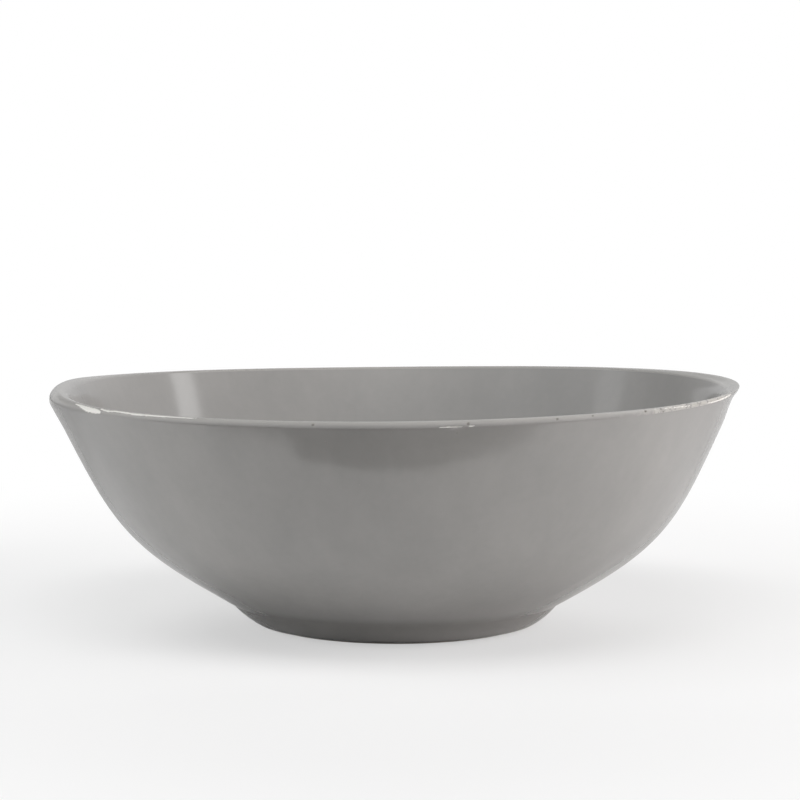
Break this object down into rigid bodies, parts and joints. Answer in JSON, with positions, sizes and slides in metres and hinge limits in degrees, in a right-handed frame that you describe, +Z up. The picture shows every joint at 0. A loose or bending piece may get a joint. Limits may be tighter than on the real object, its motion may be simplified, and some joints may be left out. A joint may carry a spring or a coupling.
{
  "type": "salad bowl",
  "caption": "Round hand-formed stoneware bowl with a flared wall, softly waved thin rim and low foot ring, glazed grey inside and out, for serving salad.",
  "frame": {"origin": "on the table, under the middle of the rim", "axes": "+Z up out of the bowl; +X to the right and -Y to the front of the picture"},
  "size_m": [0.279, 0.2796, 0.0987],
  "materials": {
    "clay": "dry fired clay, matte",
    "slip": "fired slip, matte",
    "grey_glaze": "soft grey glaze, satin gloss",
    "rim_glaze": "thin worn glaze, satin"
  },
  "bodies": {
    "root": {"stoneware_wall": "clay", "foot_ring": "clay", "foot_slip": "slip", "outer_glaze": "grey_glaze", "inner_glaze": "grey_glaze", "rim_glaze": "rim_glaze", "underside_glaze": "grey_glaze"}
  },
  "joints": []
}
